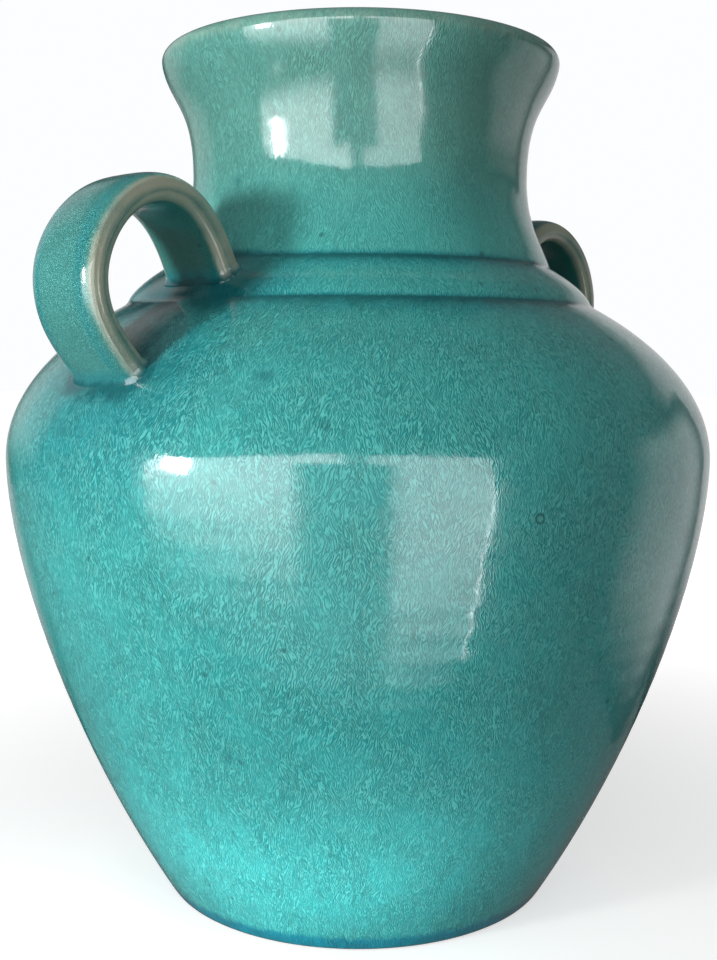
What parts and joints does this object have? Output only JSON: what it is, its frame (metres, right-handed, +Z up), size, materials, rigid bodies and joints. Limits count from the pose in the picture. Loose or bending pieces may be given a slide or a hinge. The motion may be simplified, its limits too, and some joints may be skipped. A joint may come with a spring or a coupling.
{
  "type": "amphora vase",
  "caption": "Turquoise crackle-glazed stoneware amphora vase with a flared neck, a collar ring and strap loop handles on its shoulders.",
  "frame": {"origin": "centre of the foot, on the plane it stands on", "axes": "+Z up along the turning axis; the handles lie along X, handle_left at -X"},
  "size_m": [0.2783, 0.2688, 0.32],
  "materials": {
    "body_glaze": "glossy turquoise crackle glaze",
    "collar_glaze": "glossy teal crackle glaze, pooled dark in its creases",
    "neck_glaze": "glossy grey-green crackle glaze, thin and beige at the lip",
    "handle_glaze": "glossy teal crackle glaze, thin and beige along the strap edges"
  },
  "bodies": {
    "root": {"body": "body_glaze", "collar_ring": "collar_glaze", "neck": "neck_glaze", "handle_left": "handle_glaze", "handle_right": "handle_glaze"}
  },
  "joints": []
}
